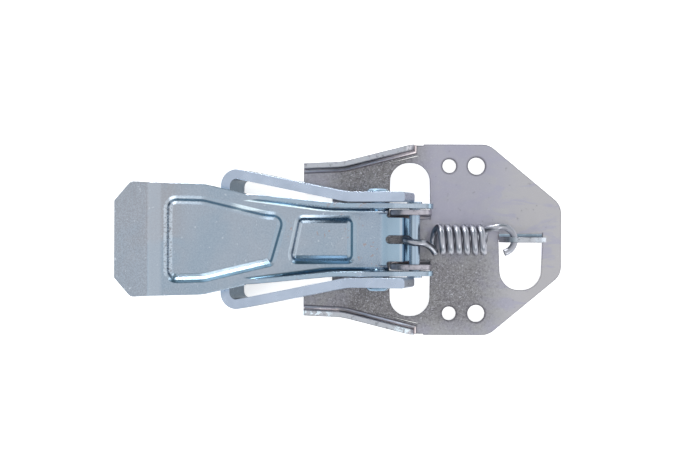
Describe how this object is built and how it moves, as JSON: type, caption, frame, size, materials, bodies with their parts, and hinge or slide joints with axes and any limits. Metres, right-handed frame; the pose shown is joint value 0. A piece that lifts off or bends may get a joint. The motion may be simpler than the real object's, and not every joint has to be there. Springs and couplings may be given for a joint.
{
  "type": "trailer side latch",
  "caption": "Over-centre draw latch of zinc-plated steel: folded back plate, pressed hand lever, draw loop and extension spring, in its open state",
  "frame": {"origin": "On the plate's flat back face, straight below the pivot pin's axis, on the latch's centre line", "axes": "+X runs from the pivot to the spring tab and the plate's tail, +Y is across the latch along the pin, +Z is away from the panel that the plate is fixed to"},
  "size_m": [0.2025, 0.0892, 0.0437],
  "materials": {
    "plate_zinc": "dull grey zinc plating with fine speckle on pressed sheet",
    "lever_zinc": "bright blue passivated zinc plating with faint drawing lines",
    "bar_zinc": "blue passivated zinc plating on bent flat bar",
    "pin_zinc": "bright zinc plating on riveted pins",
    "spring_wire": "plated drawn spring wire, darker than the sheet"
  },
  "bodies": {
    "base": {"base_plate": "plate_zinc", "pivot_pin": "pin_zinc", "spring": "spring_wire"},
    "lever": {"lever": "lever_zinc", "loop_rivet_upper": "pin_zinc", "loop_rivet_lower": "pin_zinc"},
    "loop": {"loop": "bar_zinc"}
  },
  "joints": [
    {"name": "lever_swing", "type": "hinge", "parent": "base", "child": "lever", "pos_m": [0, 0, 0.019], "axis": [0, 1, 0], "range_deg": [0, 162.5], "deforming": ["spring"]},
    {"name": "loop_swing", "type": "hinge", "parent": "lever", "child": "loop", "pos_m": [-0.01709, 0, 0.03016], "axis": [0, 1, 0], "range_deg": [-144.6, 0]}
  ],
  "couplings": [
    {"joint": "loop_swing", "follows": "lever_swing", "ratio": -0.88985}
  ]
}
